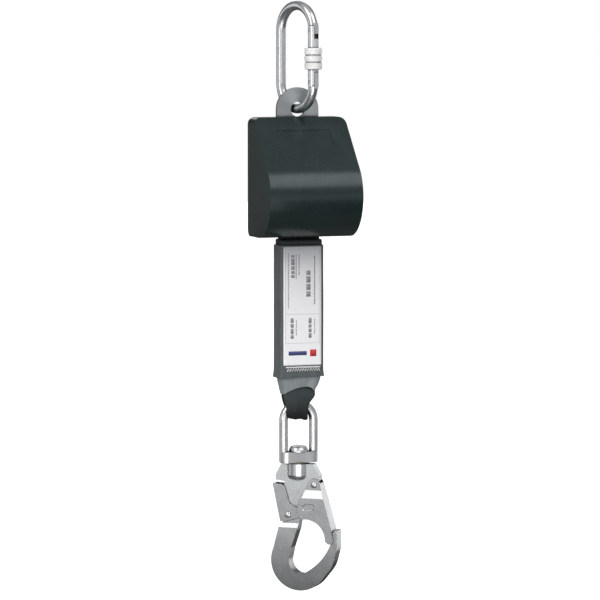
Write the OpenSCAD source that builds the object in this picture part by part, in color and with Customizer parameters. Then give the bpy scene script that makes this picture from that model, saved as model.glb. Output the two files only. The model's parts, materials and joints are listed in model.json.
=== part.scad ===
// Self retracting lifeline: webbing retractor on a carabiner, with a tear-webbing
// energy absorber and a swivel safety hook.
// Frame: +Z up, +X right, -Y front. The origin is where the load bears on the carabiner,
// at the inside of its upper bow. All sizes are in millimetres.

/* [Carabiner] */
// Diameter of the bent bar
bar_d = 10; // [9:0.5:11]
// Overall height of the oval
oval_h = 116; // [110:1:122]
// Overall width of the oval
oval_w = 62; // [60:1:66]
// Turn of the oval about the vertical, from side-on to the housing
oval_turn = 21; // [0:1:25]
// Diameter of the gate
gate_d = 11; // [10.5:0.5:12]
// Diameter of the screw sleeve
sleeve_d = 18; // [16:0.5:20]
// Height of the screw sleeve
sleeve_h = 22; // [16:1:24]

/* [Housing] */
// Width of the housing
case_w = 99; // [97:1:106]
// Height of the housing
case_h = 122; // [121:1:126]
// Depth of the housing over the drum
case_d = 77; // [76:1:80]
// Depth of the flat top
case_top_d = 18.5; // [17:0.5:20]
// Thickness of the moulded wall
wall = 3; // [2.5:0.5:3]
// Thickness of the rear cover
cover_t = 2.5; // [2:0.5:2.5]

/* [Frame] */
// Thickness of the folded steel plate
plate_t = 4; // [3:0.5:4]
// Width of the lug
lug_w = 45; // [40:1:46]
// Diameter of the hole in the lug
lug_hole_d = 15; // [14:0.5:18]

/* [Webbing] */
// Width of the lifeline webbing
web_w = 45; // [40:1:45]
// Thickness of the lifeline webbing
web_t = 1.2; // [1:0.1:1.2]
// Turns of webbing on the drum
web_turns = 12; // [10:1:12]

/* [Energy absorber] */
// Thickness of the folded tear webbing
pack_t = 22; // [18:1:24]
// Length of the folded tear webbing
pack_l = 139; // [120:1:145]

/* [Hook] */
// Turn of the hook on its swivel
hook_turn = -38.5; // [-60:0.5:60]
// Thickness of the forged bowl
hook_t = 14; // [13:0.5:14]
// Thickness of the neck under the gate and the lever
neck_t = 11; // [10:0.5:11]
// Thickness of the folded gate and lever sheet
sheet_t = 1.2; // [1:0.1:1.2]

/* [Hidden] */
$fn = 64;
fit = 0.05;       // running clearance of a shaft, on the radius
snug = 0.02;      // gap between parts that are fixed together
BLACK = "#1d2424";
STEEL = "#b8bcc0";
ZINC = "#d8d8d2";

// Carabiner, in its own plane: x towards the gate, z up
bow_r = (oval_w - bar_d) / 2;
bow_top_z = bar_d / 2 - bow_r;
bow_low_z = bow_top_z - (oval_h - oval_w);
gate_top_z = -16;
hinge_z = bow_low_z + 2.2;
latch_z = -20.5;
pin_r = 1.5;
tongue_t = 5;
tongue_rise = 9.5;
sleeve_z = -49.3;
bar_end_z = bow_low_z - bow_r;

// Housing, in the plane seen from the side: (y, z)
back_y = 12;
top_z = -109.5;
low_z = top_z - case_h;
roll_r = 42;
roll_y = back_y - case_d + roll_r;
roll_z = low_z + roll_r;
lip_y = back_y - case_top_d;
hole_z = bar_end_z - 0.5;
cover_y = back_y - cover_t;
corner_r = 7;
slope_top = [lip_y, top_z] - [roll_y, roll_z];
slope_lean = heading(slope_top) + acos(roll_r / norm(slope_top));
screw_r = 1.9;
screw_x = 40.5;
screw_top_z = top_z - 9.5;
screw_low_z = low_z + 12.5;
frame_screw_x = 20;
frame_screw_z = top_z - 14.5;

// Drum and its neighbours along the shaft
shaft_r = 6;
shaft_left = -44;
shaft_right = 37.5;
clip_left = -43.4;
clip_right = 34.8;
clip_t = 1;
hub_r = 15.4;
anchor_r = 10.7;
anchor_pin_r = 2;
coil_r = hub_r + web_turns * web_t;
flange_x = 23.5;
flange_t = 2.5;
flange_r = 31.4;
cheek_x = 27;
cheek_r = 31;
side_x = cheek_x + plate_t;
bush_r = 8;
spring_r = 30.5;
spring_screw_r = 27.3;
spring_screw_a = 60;
case_screw_r = 1.5;
lid_x = 45.5;
ring_r = 31.5;
ring_root_r = 25.5;
ring_tip_r = 22;
ring_t = 8;
ring_teeth = 12;
ring_screw_r = 28.5;
ring_screw_a = 45;
pawl_pivot_r = 13;
pawl_tip_r = 21;
pawl_lag = 75;

// Line below the housing
line_y = -4.6;
guide_top_z = low_z + 9.5;
line_top_z = guide_top_z - 0.9;
pack_top_z = low_z - 3;
pack_low_z = pack_top_z - pack_l;
sleeve_top_z = pack_top_z - 6;
sleeve_low_z = pack_low_z - 3;
sleeve_wall = 0.8;
collar_low_z = sleeve_low_z - 15;
label_top_z = sleeve_top_z - 1;
label_low_z = sleeve_low_z + 10.5;
eye_z = -406;
eye_bar_r = 4.6;
eye_bow_r = 16.2;
base_top_z = -455;
base_low_z = -466.2;
head_z = -467.3;
swivel_r = 5;
pin_head_r = 6.5;
pin_head_z = -480.5;
pin_head_h = 3;

// Hook, in its own plane: x towards the nose, z as in the row
gate_pivot = [19.3, -488.3];
lever_pivot = [-9.3, -520.7];
lever_top = [-26.3, -488.5];
lever_low = [-18, -527.6];
rivet_r = 2.5;
spring_room = 1.6;
neck_low_z = -529.5;
bowl_top_z = -534;
step_top_z = -494;
step_low_z = -502.5;
cheek_in = neck_t / 2 + 0.1;
cheek_out = hook_t / 2 + 0.1;

// ---------- helpers ----------

// Extrudes a (y, z) outline along X, from x0 to x1
module along_x(x0, x1) {
    translate([x0, 0, 0])
        rotate([90, 0, 90])
            linear_extrude(height = x1 - x0)
                children();
}

// Extrudes an (x, z) outline along Y, from y0 to y1
module along_y(y0, y1) {
    translate([0, y1, 0])
        rotate([90, 0, 0])
            linear_extrude(height = y1 - y0)
                children();
}

// Places children made around the X axis onto the shaft's axis
module at_shaft() {
    translate([0, roll_y, roll_z])
        children();
}

// Places children at three spots round the shaft, at radius r, the first at angle a
module at_three(r, a) {
    at_shaft()
        for (turn = [0, 120, 240])
            rotate([a + turn, 0, 0])
                translate([0, r, 0])
                    children();
}

// Cylinder along X from x0 to x1
module rod_x(r, x0, x1) {
    translate([x0, 0, 0])
        rotate([0, 90, 0])
            cylinder(r = r, h = x1 - x0);
}

// Cylinder along Y from y0 to y1, at [x, z]
module rod_y(r, at, y0, y1) {
    translate([at[0], y0, at[1]])
        rotate([-90, 0, 0])
            cylinder(r = r, h = y1 - y0);
}

// Ring along X with a round bore
module ring_x(r_out, r_in, x0, x1) {
    difference() {
        rod_x(r_out, x0, x1);
        rod_x(r_in, x0 - 1, x1 + 1);
    }
}

// Angle of a direction
function heading(v) = atan2(v[1], v[0]);

// Two circles joined by their outer tangents
module belt(c1, r1, c2, r2) {
    gap = c2 - c1;
    lean = acos((r1 - r2) / norm(gap));
    up = heading(gap) + lean;
    down = heading(gap) - lean;
    translate(c1)
        circle(r = r1);
    translate(c2)
        circle(r = r2);
    polygon([
        c1 + r1 * [cos(up), sin(up)],
        c1 + r1 * [cos(down), sin(down)],
        c2 + r2 * [cos(down), sin(down)],
        c2 + r2 * [cos(up), sin(up)]
    ]);
}

// Rectangle with rounded corners, centred
module round_rect(w, h, r) {
    square([w - 2 * r, h], center = true);
    square([w, h - 2 * r], center = true);
    for (sx = [-1, 1], sy = [-1, 1])
        translate([sx * (w / 2 - r), sy * (h / 2 - r)])
            circle(r = r);
}

// Wire coil along Z: mean radius r, wire radius w
module coil(r, w, pitch, turns) {
    sides = 6;
    steps = 14 * turns;
    points = [
        for (i = [0:steps], k = [0:sides - 1])
            let (a = 360 * turns * i / steps, b = 360 * k / sides, q = r + w * cos(b))
                [q * cos(a), q * sin(a), pitch * turns * i / steps + w * sin(b)]
    ];
    skin = [
        for (i = [0:steps - 1], k = [0:sides - 1])
            let (n = (k + 1) % sides)
                [i * sides + k, (i + 1) * sides + k, (i + 1) * sides + n, i * sides + n]
    ];
    first = [for (k = [0:sides - 1]) k];
    last = [for (k = [sides - 1:-1:0]) steps * sides + k];
    polyhedron(points, concat([first, last], skin), convexity = 8);
}

// ---------- carabiner ----------

// Turns children made in the carabiner's own plane into the row
module in_oval() {
    rotate([0, 0, oval_turn - 90])
        children();
}

// Half of the bent bar's bow; up is 1 for the upper bow and -1 for the lower
module bow(z, up) {
    translate([0, 0, z])
        rotate([up * 90, 0, 0])
            rotate_extrude(angle = 180)
                translate([bow_r, 0])
                    circle(d = bar_d);
}

// Room that the gate needs in the bent bar
module gate_room() {
    translate([bow_r, 0, hinge_z])
        cylinder(d = gate_d + 0.8, h = gate_top_z + 0.5 - hinge_z);
    rod_y(gate_d / 2 + 0.4, [bow_r, hinge_z], -gate_d, gate_d);
}

module carabiner_body() {
    tongue_x = bar_d / 2;
    tongue_low_z = latch_z - 3.5;
    color(STEEL) in_oval() difference() {
        union() {
            difference() {
                union() {
                    bow(bow_top_z, 1);
                    bow(bow_low_z, -1);
                    translate([-bow_r, 0, bow_low_z])
                        cylinder(d = bar_d, h = bow_top_z - bow_low_z);
                    translate([bow_r, 0, bow_low_z])
                        cylinder(d = bar_d, h = hinge_z - bow_low_z);
                }
                gate_room();
            }
            // Milled tongues that sit in the gate's slots
            along_y(-tongue_t / 2, tongue_t / 2) {
                translate([bow_r, hinge_z])
                    polygon([
                        [tongue_x, -7], [tongue_x, tongue_rise], [-1, tongue_rise],
                        [-tongue_x, 2], [-tongue_x, -7]
                    ]);
                translate([bow_r - tongue_x, tongue_low_z])
                    square([2 * tongue_x, gate_top_z + 3 - tongue_low_z]);
            }
        }
        rod_y(pin_r + fit, [bow_r, hinge_z], -bar_d, bar_d);
        // Notch that the latch pin enters sideways
        along_y(-bar_d, bar_d) {
            translate([bow_r, latch_z])
                circle(r = pin_r + 0.3);
            translate([bow_r - 10, latch_z - pin_r - 0.3])
                square([10, 2 * pin_r + 0.6]);
        }
    }
}

module carabiner_gate() {
    slot = tongue_t + 0.6;
    color(STEEL) in_oval() difference() {
        union() {
            translate([bow_r, 0, hinge_z])
                cylinder(d = gate_d, h = gate_top_z - hinge_z);
            intersection() {
                translate([bow_r, 0, hinge_z - gate_d])
                    cylinder(d = gate_d, h = gate_d);
                rod_y(gate_d / 2, [bow_r, hinge_z], -gate_d, gate_d);
            }
        }
        translate([bow_r - gate_d, -slot / 2, latch_z - 8.5])
            cube([2 * gate_d, slot, 20]);
        translate([bow_r - gate_d, -slot / 2, hinge_z - gate_d])
            cube([2 * gate_d, slot, gate_d + tongue_rise + 0.8]);
        translate([bow_r, 0, hinge_z])
            cylinder(r = 2.3, h = 24);
        rod_y(pin_r + snug, [bow_r, hinge_z], -gate_d, gate_d);
        rod_y(pin_r + snug, [bow_r, latch_z], -gate_d, gate_d);
    }
}

module carabiner_gate_pin() {
    color(STEEL) in_oval()
        rod_y(pin_r, [bow_r, hinge_z], 0.2 - gate_d / 2, gate_d / 2 - 0.2);
}

module carabiner_latch_pin() {
    color(STEEL) in_oval()
        rod_y(pin_r, [bow_r, latch_z], 0.2 - gate_d / 2, gate_d / 2 - 0.2);
}

module carabiner_sleeve() {
    bore_r = gate_d / 2 + 0.15;
    groove_z = 3.6;
    groove_h = 1.2;
    color(ZINC) in_oval()
        translate([bow_r, 0, sleeve_z])
            difference() {
                union() {
                    cylinder(d = sleeve_d, h = sleeve_h - 2, center = true);
                    cylinder(d = sleeve_d - 2, h = sleeve_h, center = true);
                }
                cylinder(r = bore_r, h = sleeve_h + 2, center = true);
                for (side = [-1, 1])
                    translate([0, 0, side * groove_z])
                        difference() {
                            cylinder(d = sleeve_d + 2, h = groove_h, center = true);
                            cylinder(d = sleeve_d - 2.4, h = groove_h + 1, center = true);
                        }
            }
}

module carabiner_gate_spring() {
    color(STEEL) in_oval()
        translate([bow_r, 0, hinge_z + 13])
            coil(1.7, 0.35, 1.6, 6);
}

module carabiner_plunger() {
    color(STEEL) in_oval()
        translate([bow_r, 0, hinge_z + tongue_rise + 0.4])
            cylinder(r = 2.2, h = 2.4);
}

// ---------- housing ----------

// Side outline of the housing, moved inwards by inset
module side_outline(inset) {
    r = roll_r - inset;
    touch = [roll_y, roll_z] + r * [cos(slope_lean), sin(slope_lean)];
    run = (top_z - inset - touch[1]) / cos(slope_lean);
    lip = touch + run * [-sin(slope_lean), cos(slope_lean)];
    corner = max(corner_r - inset, 1);
    intersection() {
        union() {
            translate([roll_y, roll_z])
                circle(r = r);
            polygon([
                touch,
                lip,
                [back_y - inset, top_z - inset],
                [back_y - inset, low_z + inset + corner],
                [back_y - inset - corner, low_z + inset + corner],
                [back_y - inset - corner, low_z + inset],
                [roll_y, low_z + inset],
                [roll_y, roll_z]
            ]);
            translate([back_y - inset - corner, low_z + inset + corner])
                circle(r = corner);
        }
        translate([back_y - inset - 2 * case_d, low_z - 10])
            square([2 * case_d, case_h + 20]);
    }
}

// Front outline of the housing, moved inwards by inset
module front_outline(inset) {
    w = case_w / 2 - inset;
    r = max(corner_r - inset, 1);
    translate([-w, low_z - 5])
        square([2 * w, top_z - inset - r - low_z + 5]);
    translate([r - w, low_z - 5])
        square([2 * (w - r), top_z - inset - low_z + 5]);
    for (side = [-1, 1])
        translate([side * (w - r), top_z - inset - r])
            circle(r = r);
}

// Solid housing shape, moved inwards by inset
module housing_solid(inset) {
    intersection() {
        along_x(-case_w, case_w)
            side_outline(inset);
        along_y(-case_d, case_d)
            front_outline(inset);
    }
}

// Places children at the four cover screws
module at_cover_screws() {
    for (side = [-1, 1], z = [screw_top_z, screw_low_z])
        translate([side * screw_x, 0, z])
            children();
}

// Countersunk screw along Y, head flush with the back plane
module cover_screw(length) {
    rod_y(screw_r, [0, 0], back_y - length, back_y - 2);
    translate([0, back_y - 2.2, 0])
        rotate([-90, 0, 0])
            cylinder(r1 = screw_r, r2 = 3.6, h = 2.15);
}

module cover_screw_room(length) {
    rod_y(screw_r + snug, [0, 0], back_y - length - 0.5, back_y);
    translate([0, back_y - 2.2, 0])
        rotate([-90, 0, 0])
            cylinder(r1 = screw_r + fit, r2 = 3.75, h = 2.25);
}

module front_housing() {
    recess_w = 58;
    recess_h = 22;
    recess_depth = 0.5;
    down = [-sin(slope_lean), cos(slope_lean)];
    face = [lip_y, top_z] + 28 * down;
    color(BLACK) difference() {
        union() {
            difference() {
                housing_solid(0);
                housing_solid(wall);
                // Open back for the cover
                along_y(back_y - wall - 0.1, back_y + 1)
                    intersection() {
                        front_outline(wall);
                        translate([-case_w, low_z + corner_r])
                            square([2 * case_w, case_h]);
                    }
            }
            // Screw posts
            intersection() {
                housing_solid(0.5);
                for (side = [-1, 1]) {
                    rod_y(4, [side * screw_x, screw_top_z], -30, cover_y - 0.1);
                    rod_y(4, [side * screw_x, screw_low_z], -2, cover_y - 0.1);
                    translate([side * screw_x - 4, -2, low_z + 1])
                        cube([8, cover_y + 1.9, screw_low_z - low_z - 1]);
                }
            }
        }
        at_cover_screws()
            rod_y(screw_r + snug, [0, 0], -1.5, back_y);
        // Slot for the lug
        translate([-lug_w / 2 - 0.3, -plate_t / 2 - 0.3, top_z - wall - 1])
            cube([lug_w + 0.6, plate_t + 0.6, wall + 2]);
        // Opening for the webbing guide
        translate([-26.1, line_y - 4.6, low_z - 1])
            cube([52.2, 9.2, wall + 2]);
        // Shallow label field on the slope
        translate([0, face[0], face[1]])
            rotate([slope_lean - 90, 0, 0])
                translate([-recess_w / 2, -recess_h / 2, -recess_depth])
                    cube([recess_w, recess_h, 5]);
    }
}

module rear_cover() {
    gap = 0.15;
    color(BLACK) difference() {
        union() {
            along_y(cover_y, back_y)
                intersection() {
                    front_outline(wall + gap);
                    translate([-case_w, low_z + corner_r + gap])
                        square([2 * case_w, case_h]);
                }
            for (side = [-1, 1])
                rod_y(5, [side * frame_screw_x, frame_screw_z], plate_t / 2 + snug, cover_y + 1);
        }
        at_cover_screws()
            cover_screw_room(20);
        for (side = [-1, 1])
            translate([side * frame_screw_x, 0, frame_screw_z])
                cover_screw_room(20);
    }
}

module housing_screws() {
    color(STEEL)
        at_cover_screws()
            cover_screw(12.5);
}

// ---------- frame ----------

// Side plate outline in (y, z)
module cheek_outline() {
    translate([roll_y, roll_z])
        circle(r = cheek_r);
    polygon([
        [plate_t / 2, top_z - wall - 1],
        [lip_y + 2.5, top_z - wall - 1],
        [roll_y - 22, roll_z + 22],
        [roll_y, roll_z],
        [plate_t / 2, roll_z + 10]
    ]);
}

module frame_bracket() {
    web_top_z = top_z - wall - 1;
    web_low_z = -150;
    color(STEEL) difference() {
        union() {
            along_y(-plate_t / 2, plate_t / 2) {
                translate([0, hole_z])
                    circle(d = lug_w);
                translate([-lug_w / 2, web_low_z])
                    square([lug_w, hole_z - web_low_z]);
                translate([-side_x, web_low_z])
                    square([2 * side_x, web_top_z - web_low_z]);
            }
            along_x(cheek_x, side_x)
                cheek_outline();
            along_x(-side_x, -cheek_x)
                cheek_outline();
        }
        rod_y(lug_hole_d / 2, [0, hole_z], -plate_t, plate_t);
        at_shaft()
            rod_x(bush_r + snug, -case_w, case_w);
        for (side = [-1, 1])
            rod_y(screw_r + snug, [side * frame_screw_x, frame_screw_z], -plate_t, plate_t);
        at_three(spring_screw_r, spring_screw_a)
            rod_x(case_screw_r + snug, -case_w / 2, -cheek_x + 1);
        at_three(ring_screw_r, ring_screw_a)
            rod_x(case_screw_r + snug, cheek_x - 1, case_w / 2);
    }
}

module frame_screws() {
    color(STEEL)
        for (side = [-1, 1])
            translate([side * frame_screw_x, 0, frame_screw_z])
                cover_screw(13.5);
}

module shaft_bushes() {
    color("#8a6a3a") at_shaft()
        for (side = [0, 1])
            mirror([side, 0, 0])
                difference() {
                    union() {
                        rod_x(bush_r, cheek_x - 0.1, side_x);
                        rod_x(bush_r + 2, cheek_x - 0.8, cheek_x - snug);
                    }
                    rod_x(shaft_r + fit, cheek_x - 2, side_x + 1);
                }
}

// ---------- drum ----------

module main_shaft() {
    color(STEEL) at_shaft() difference() {
        rod_x(shaft_r, shaft_left, shaft_right);
        ring_x(shaft_r + 1, shaft_r - 0.7, clip_left, clip_left + clip_t);
        ring_x(shaft_r + 1, shaft_r - 0.7, clip_right, clip_right + clip_t);
    }
}

module shaft_clips() {
    color(STEEL) at_shaft()
        for (x = [clip_left, clip_right])
            difference() {
                ring_x(7.8, shaft_r - 0.6, x + 0.1, x + clip_t - 0.1);
                translate([x - 1, 2, -1.5])
                    cube([clip_t + 2, 10, 3]);
            }
}

module drum() {
    color("#5b6064") at_shaft() difference() {
        union() {
            rod_x(hub_r, -flange_x - 1, flange_x + 1);
            for (side = [0, 1])
                mirror([side, 0, 0])
                    rod_x(flange_r, flange_x, flange_x + flange_t);
        }
        rod_x(shaft_r + snug, -30, 30);
        translate([0, anchor_r, 0])
            rod_x(anchor_pin_r + snug, -30, 30);
        // Mouth through which the webbing reaches its pin
        translate([-flange_x, anchor_r, -0.8])
            cube([2 * flange_x, 8, 1.6]);
    }
}

module webbing_anchor_pin() {
    color(STEEL) at_shaft()
        translate([0, anchor_r, 0])
            rod_x(anchor_pin_r, -flange_x - flange_t, flange_x + flange_t);
}

module wound_webbing() {
    color(BLACK) at_shaft() {
        ring_x(coil_r, hub_r + snug, -web_w / 2, web_w / 2);
        // Sewn end around the anchor pin
        translate([-web_w / 2, anchor_r + anchor_pin_r + 0.2, -web_t / 2])
            cube([web_w, hub_r - anchor_r - anchor_pin_r + 0.8, web_t]);
    }
}

// Run of webbing between the coil and the guide, a straight tangent
module webbing_lead() {
    r = coil_r + 0.2 + web_t / 2;
    mouth = [line_y, guide_top_z - 0.4];
    reach = mouth - [roll_y, roll_z];
    lean = heading(reach) + acos(r / norm(reach));
    touch = [roll_y, roll_z] + r * [cos(lean), sin(lean)];
    side = web_t / 2 * [cos(lean), sin(lean)];
    color(BLACK)
        along_x(-web_w / 2, web_w / 2)
            polygon([touch - side, touch + side, mouth + side, mouth - side]);
}

module webbing_guide() {
    slot_t = 3.4;
    color("#2b3030") difference() {
        union() {
            translate([-26, line_y - 4.5, low_z])
                cube([52, 9, guide_top_z - low_z]);
            translate([-29, line_y - 6.5, low_z + wall + snug])
                cube([58, 13, 2]);
        }
        translate([-web_w / 2 - 0.8, line_y - slot_t / 2, low_z - 1])
            cube([web_w + 1.6, slot_t, guide_top_z - low_z + 2]);
        // Flared mouths
        for (z = [low_z, guide_top_z])
            translate([0, line_y, z])
                rotate([45, 0, 0])
                    cube([web_w + 1.6, 4, 4], center = true);
    }
}

// ---------- power spring ----------

module spring_case() {
    floor_t = 1.2;
    rim_x = 1.3 - lid_x;
    color(STEEL) difference() {
        union() {
            at_shaft() {
                ring_x(spring_r, bush_r + 1.5, -side_x - floor_t, -side_x - snug);
                ring_x(spring_r, spring_r - 1.5, rim_x, -side_x - snug);
            }
            at_three(spring_screw_r, spring_screw_a)
                rod_x(3, rim_x, -side_x - snug);
        }
        at_three(spring_screw_r, spring_screw_a)
            rod_x(case_screw_r + snug, -lid_x - 1, -side_x + 1);
    }
}

module spring_case_lid() {
    color(STEEL) difference() {
        at_shaft()
            rod_x(spring_r, -lid_x, 1.2 - lid_x);
        at_three(spring_screw_r, spring_screw_a)
            rod_x(case_screw_r + snug, -lid_x - 1, 2 - lid_x);
    }
}

module spring_case_screws() {
    color(STEEL)
        at_three(spring_screw_r, spring_screw_a) {
            rod_x(case_screw_r, -lid_x - 0.3, -cheek_x);
            rod_x(2.6, -lid_x - 0.6, -lid_x - snug);
        }
}

// Flat spiral strip
module power_spring() {
    turns = 7;
    per_turn = 24;
    strip_t = 0.9;
    r0 = 9.3;
    r1 = 23.4;
    steps = turns * per_turn;
    inner = [
        for (i = [0:steps])
            let (a = 360 * i / per_turn, r = r0 + (r1 - r0) * i / steps)
                r * [cos(a), sin(a)]
    ];
    outer = [
        for (i = [steps:-1:0])
            let (a = 360 * i / per_turn, r = r0 + strip_t + (r1 - r0) * i / steps)
                r * [cos(a), sin(a)]
    ];
    color("#70757a") at_shaft()
        along_x(-side_x - 11.5, -side_x - 1.7)
            polygon(concat(inner, outer));
}

module spring_arbor() {
    color(STEEL) at_shaft() difference() {
        rod_x(8.7, clip_left + clip_t + 0.1, -side_x - 1.5);
        rod_x(shaft_r + snug, -case_w, 0);
        translate([-case_w / 2, 7.2, -1])
            cube([case_w, 4, 2]);
    }
}

// ---------- centrifugal brake ----------

// Internal ratchet outline in (y, z): steep faces stop the paying-out turn
module ratchet_gaps() {
    pitch = 360 / ring_teeth;
    phase = -pawl_lag + 8;
    circle(r = ring_tip_r);
    for (i = [0:ring_teeth - 1])
        let (a = phase + i * pitch)
            polygon([
                [0, 0],
                ring_root_r * [cos(a - 3.5), sin(a - 3.5)],
                ring_root_r * [cos(a + 6), sin(a + 6)],
                ring_root_r * [cos(a + 14), sin(a + 14)],
                (ring_tip_r - 1) * [cos(a + 23), sin(a + 23)]
            ]);
}

module ratchet_ring() {
    color("#7c8286") difference() {
        at_shaft()
            rod_x(ring_r, side_x + snug, side_x + ring_t);
        at_shaft()
            along_x(side_x - 1, side_x + ring_t + 1)
                ratchet_gaps();
        at_three(ring_screw_r, ring_screw_a)
            rod_x(case_screw_r + snug, side_x - 1, side_x + ring_t + 1);
    }
}

module ratchet_screws() {
    color(STEEL)
        at_three(ring_screw_r, ring_screw_a) {
            rod_x(case_screw_r, cheek_x, side_x + ring_t + 1);
            rod_x(2.6, side_x + ring_t + snug, side_x + ring_t + 2);
        }
}

module pawl_carrier() {
    color(STEEL) at_shaft() difference() {
        ring_x(19, shaft_r + snug, side_x + 1, side_x + 3.5);
        for (side = [-1, 1])
            translate([0, side * pawl_pivot_r, 0])
                rod_x(2 + snug, side_x, side_x + 5);
    }
}

// Pawl drawn for the pivot at angle 0; its tip trails by pawl_lag
module pawl() {
    tip = pawl_tip_r * [cos(-pawl_lag), sin(-pawl_lag)];
    waist = [11.8, -10.5];
    difference() {
        along_x(side_x + 4.6, side_x + 7.4) {
            belt([pawl_pivot_r, 0], 4.2, waist, 2.8);
            polygon([waist + [-2.3, 0], tip, tip + [2.6, 0.5], waist + [2, 1.5]]);
        }
        translate([0, pawl_pivot_r, 0])
            rod_x(2 + fit, side_x, side_x + 12);
    }
}

module pawl_a() {
    color("#9a8f70") at_shaft()
        pawl();
}

module pawl_b() {
    color("#9a8f70") at_shaft()
        rotate([180, 0, 0])
            pawl();
}

module pawl_pins() {
    color(STEEL) at_shaft()
        for (side = [-1, 1])
            translate([0, side * pawl_pivot_r, 0]) {
                rod_x(2, side_x + 1, side_x + 10);
                rod_x(2.9, side_x + 9.4, side_x + 10.2);
            }
}

module pawl_springs() {
    color(STEEL) at_shaft()
        for (side = [-1, 1])
            translate([side_x + 7.9, side * pawl_pivot_r, 0])
                rotate([0, 90, 0])
                    coil(2.6, 0.25, 0.55, 2);
}

// ---------- line and energy absorber ----------

module lifeline_webbing() {
    color(BLACK)
        translate([-web_w / 2, line_y - web_t / 2, pack_top_z + 0.1])
            cube([web_w, web_t, line_top_z - pack_top_z - 0.1]);
}

module absorber_pack() {
    color(BLACK)
        translate([0, line_y, pack_low_z])
            linear_extrude(height = pack_l)
                round_rect(web_w, pack_t, 2);
}

// Outside of the gathered collar, inset by its wall
module collar_shape(inset) {
    hull() {
        translate([0, line_y, sleeve_low_z - 1])
            linear_extrude(height = 1)
                round_rect(web_w + 3 - 2 * inset, pack_t + 2.4 - 2 * inset, 3);
        translate([0, line_y, collar_low_z - 2])
            linear_extrude(height = 1)
                round_rect(34 - 2 * inset, 23 - 2 * inset, 3);
    }
}

module absorber_sleeve() {
    outer_w = web_w + 0.2 + 2 * sleeve_wall;
    outer_t = pack_t + 0.2 + 2 * sleeve_wall;
    color("#6f7677") difference() {
        union() {
            translate([0, line_y, sleeve_low_z])
                linear_extrude(height = sleeve_top_z - sleeve_low_z)
                    round_rect(outer_w, outer_t, 3);
            collar_shape(0);
        }
        translate([0, line_y, sleeve_low_z - 1])
            linear_extrude(height = 2 * pack_l)
                round_rect(web_w + 0.2, pack_t + 0.2, 2);
        collar_shape(sleeve_wall);
        // Arched lower hem
        rod_y(24, [3, collar_low_z - 20], -60, 60);
    }
}

module id_label() {
    label_w = 41;
    color("white")
        translate([0, line_y - pack_t / 2 - sleeve_wall - 0.15, 0])
            along_y(-0.35, 0)
                translate([0, (label_top_z + label_low_z) / 2])
                    round_rect(label_w, label_top_z - label_low_z, 1.5);
}

// Room that the swivel eye's bow sweeps as it swings about X
module eye_sweep(gap) {
    translate([0, line_y, eye_z])
        rotate([0, 90, 0])
            rotate_extrude()
                difference() {
                    translate([0, -13])
                        square([eye_bow_r, 26]);
                    translate([eye_bow_r, 0])
                        circle(r = eye_bow_r - eye_bar_r - gap);
                }
}

module connector_loop() {
    color(BLACK) difference() {
        union() {
            hull() {
                translate([0, line_y, pack_low_z - 1.1])
                    linear_extrude(height = 1)
                        round_rect(40, 19, 3);
                translate([0, line_y, eye_z + 9])
                    linear_extrude(height = 1)
                        round_rect(29, 20, 3);
            }
            hull() {
                translate([0, line_y, eye_z + 9])
                    linear_extrude(height = 1)
                        round_rect(29, 20, 3);
                translate([-9, line_y, eye_z - 2])
                    rotate([0, 90, 0])
                        cylinder(r = 10, h = 18, $fn = 32);
            }
        }
        eye_sweep(0.5);
    }
}

// ---------- swivel ----------

module swivel_eye() {
    block_w = 40;
    block_t = 15;
    color(STEEL) difference() {
        translate([0, line_y, 0]) {
            translate([0, 0, eye_z - eye_bow_r])
                rotate([90, 0, 0])
                    rotate_extrude(angle = 180)
                        translate([eye_bow_r, 0])
                            circle(r = eye_bar_r);
            for (side = [-1, 1])
                translate([side * eye_bow_r, 0, base_low_z + 1])
                    cylinder(r = eye_bar_r, h = eye_z - eye_bow_r - base_low_z - 1);
            translate([0, 0, base_low_z])
                linear_extrude(height = base_top_z - base_low_z)
                    round_rect(block_w, block_t, block_t / 2 - 0.5);
        }
        translate([0, line_y, base_low_z - 1])
            cylinder(r = swivel_r + fit, h = base_top_z - base_low_z + 2);
    }
}

module swivel_pin() {
    dome_r = 9.9;
    dome_h = 6.4;
    flat_r = 4.2;
    color(STEEL)
        translate([0, line_y, 0]) {
            translate([0, 0, pin_head_z + 1])
                cylinder(r = swivel_r, h = base_top_z - pin_head_z);
            translate([0, 0, pin_head_z])
                cylinder(r = pin_head_r, h = pin_head_h);
            translate([0, 0, base_top_z + fit])
                rotate_extrude()
                    polygon(concat(
                        [[0, 0], [dome_r, 0], [dome_r, 1]],
                        [for (a = [15:15:90])
                            [flat_r + (dome_r - flat_r) * cos(a), 1 + (dome_h - 1) * sin(a)]],
                        [[0, dome_h]]
                    ));
        }
}

module thrust_washer() {
    color("#c9b37a")
        translate([0, line_y, head_z + snug])
            difference() {
                cylinder(r = 9.6, h = base_low_z - head_z - 2 * snug);
                translate([0, 0, -1])
                    cylinder(r = swivel_r + fit, h = 4);
            }
}

// ---------- hook ----------

// Turns children made in the hook's own plane into the row
module in_hook() {
    translate([0, line_y, 0])
        rotate([0, 0, hook_turn])
            children();
}

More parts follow.
